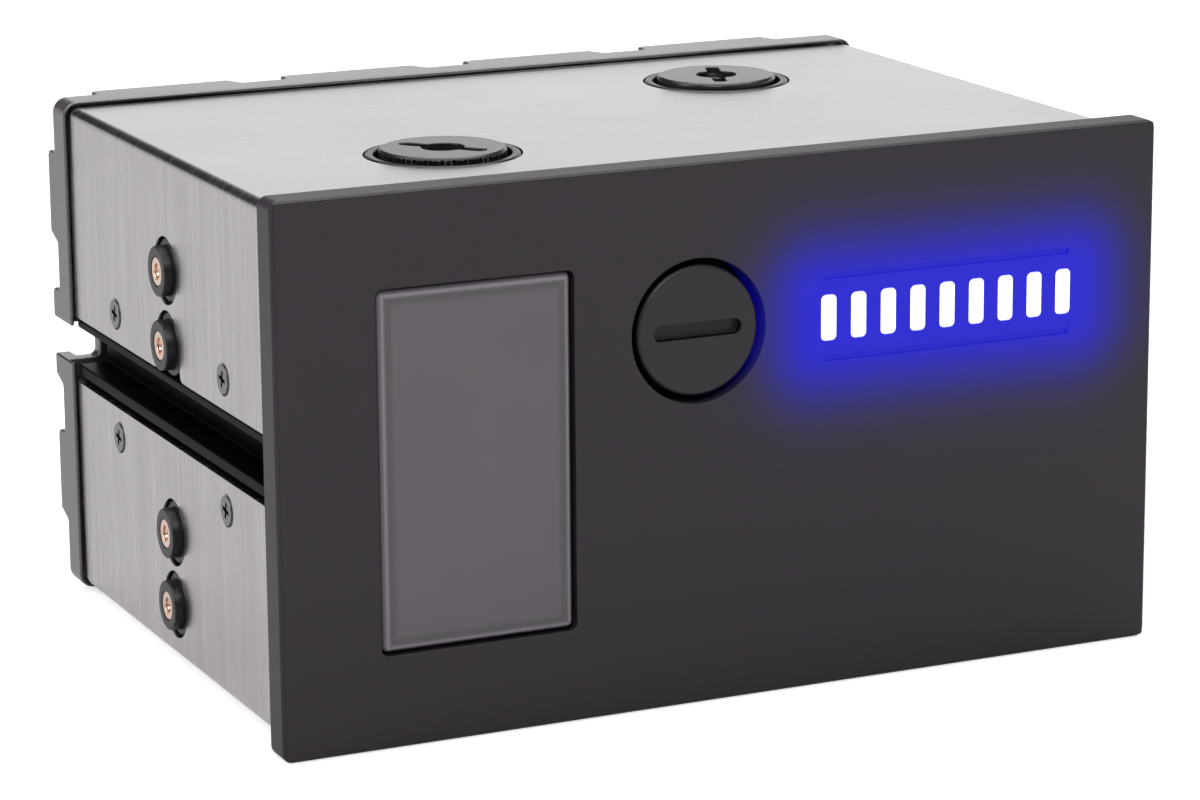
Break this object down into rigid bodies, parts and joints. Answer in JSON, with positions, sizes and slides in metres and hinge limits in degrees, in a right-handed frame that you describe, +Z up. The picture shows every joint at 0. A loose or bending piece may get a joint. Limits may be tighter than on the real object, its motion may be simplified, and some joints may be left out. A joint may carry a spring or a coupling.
{
  "type": "coolant pump reservoir",
  "caption": "Liquid-cooling reservoir with a built-in circulation pump in a double-height drive-bay case, with sight window, fill plugs and threaded hose ports.",
  "frame": {"origin": "centre of the footprint, on the plane of the faceplate's lower edge", "axes": "+X to the right seen from the front, +Y from the faceplate towards the rear cover, +Z up"},
  "size_m": [0.149, 0.1086, 0.085],
  "materials": {
    "anodised_plate": "black anodised, fine matte",
    "smoked_pane": "smoked, polished",
    "light_guide": "frosted clear, lit from behind",
    "circuit_board": "solder mask",
    "black_rubber": "matt",
    "plug_black": "black anodised, turned",
    "ring_black": "black anodised, turned",
    "tank_plastic": "machined satin",
    "brushed_sheet": "brushed, grain round the bend",
    "screw_steel": "bright plated",
    "bush_rubber": "satin moulded",
    "insert_brass": "turned",
    "cap_plastic": "satin moulded",
    "pump_plastic": "satin moulded",
    "impeller_plastic": "natural moulded",
    "magnet": "sintered, coated",
    "ceramic": "ground ceramic",
    "can_steel": "deep drawn",
    "core_steel": "stacked laminations",
    "coil_copper": "enamelled copper wire",
    "housing_metal": "cast, bead blasted",
    "dial_red": "moulded"
  },
  "bodies": {
    "case": {"faceplate": "anodised_plate", "sight_window": "smoked_pane", "window_gasket": "black_rubber", "light_guide": "light_guide", "led_board": "circuit_board", "tank_front": "tank_plastic", "tank_roof": "tank_plastic", "tank_left_side": "tank_plastic", "tank_right_side": "tank_plastic", "tank_bulkhead": "tank_plastic", "tank_bay_wall": "tank_plastic", "tank_rear_wall": "tank_plastic", "tank_base": "tank_plastic", "base_gasket": "black_rubber", "base_screws": "screw_steel", "upper_cover": "brushed_sheet", "lower_cover": "brushed_sheet", "cover_screws": "screw_steel", "drive_bushes": "bush_rubber", "thread_inserts": "insert_brass", "port_rings": "ring_black", "rear_cover": "cap_plastic", "rear_cover_screws": "screw_steel", "faceplate_screws": "screw_steel", "vortex_baffle": "tank_plastic", "pump_top": "pump_plastic", "pump_top_seal": "black_rubber", "bearing_post": "ceramic", "pump_can": "can_steel", "pump_can_seal": "black_rubber", "stator_core": "core_steel", "stator_coils": "coil_copper", "driver_board": "circuit_board", "pump_housing": "housing_metal", "pump_end_cap": "pump_plastic", "pump_screws": "screw_steel", "cable_grommet": "black_rubber"},
    "fill_seal": {"fill_plug_seal": "black_rubber"},
    "fill_plug": {"fill_plug": "plug_black"},
    "left_seal": {"left_port_seal": "black_rubber"},
    "left_plug": {"left_port_plug": "plug_black"},
    "right_seal": {"right_port_seal": "black_rubber"},
    "right_plug": {"right_port_plug": "plug_black"},
    "rotor": {"impeller": "impeller_plastic", "rotor_magnet": "magnet"},
    "dial": {"speed_dial": "dial_red"}
  },
  "joints": [
    {"name": "fill_lift", "type": "slide", "parent": "case", "child": "fill_seal", "axis": [0, -1, 0], "range_m": [0, 0.00737]},
    {"name": "fill_turn", "type": "hinge", "parent": "fill_seal", "child": "fill_plug", "pos_m": [-0.0058, -0.0539, 0.059], "axis": [0, -1, 0], "range_deg": [0, 1980]},
    {"name": "left_lift", "type": "slide", "parent": "case", "child": "left_seal", "axis": [0, 0, 1], "range_m": [0, 0.00537]},
    {"name": "left_turn", "type": "hinge", "parent": "left_seal", "child": "left_plug", "pos_m": [-0.0334, -0.0208, 0.0842], "axis": [0, 0, 1], "range_deg": [0, 1440]},
    {"name": "right_lift", "type": "slide", "parent": "case", "child": "right_seal", "axis": [0, 0, 1], "range_m": [0, 0.00537]},
    {"name": "right_turn", "type": "hinge", "parent": "right_seal", "child": "right_plug", "pos_m": [0.0341, 0.0203, 0.0842], "axis": [0, 0, 1], "range_deg": [0, 1440]},
    {"name": "impeller_spin", "type": "hinge", "parent": "case", "child": "rotor", "pos_m": [-0.031, 0.0067, 0.0425], "axis": [0, 1, 0], "continuous": true},
    {"name": "dial_turn", "type": "hinge", "parent": "case", "child": "dial", "pos_m": [-0.031, 0.0519, 0.0545], "axis": [0, 1, 0], "range_deg": [0, 240]}
  ],
  "couplings": [
    {"joint": "fill_lift", "follows": "fill_turn", "m_per_rad": 0.00021279},
    {"joint": "left_lift", "follows": "left_turn", "m_per_rad": 0.00021279},
    {"joint": "right_lift", "follows": "right_turn", "m_per_rad": 0.00021279}
  ]
}
